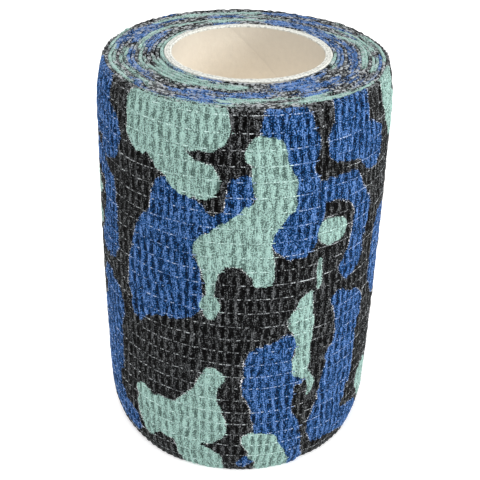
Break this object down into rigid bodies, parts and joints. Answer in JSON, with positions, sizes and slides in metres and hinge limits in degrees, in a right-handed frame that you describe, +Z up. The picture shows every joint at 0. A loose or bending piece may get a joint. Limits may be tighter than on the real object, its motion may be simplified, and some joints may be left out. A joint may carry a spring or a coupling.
{
  "type": "cohesive bandage roll",
  "caption": "Standing roll of crinkled, self-clinging elastic bandage with a camouflage print, wound on an open paperboard core.",
  "frame": {"origin": "middle of the base's bounding box, on the surface that the roll stands on", "axes": "+Z up along the core, -Y towards the viewer of the picture"},
  "size_m": [0.053, 0.0534, 0.0755],
  "materials": {
    "bandage_fabric": "matt crinkled nonwoven, printed in mint, blue and black",
    "core_board": "matt cream paperboard"
  },
  "bodies": {
    "root": {"bandage_roll": "bandage_fabric", "core_tube": "core_board"}
  },
  "joints": []
}
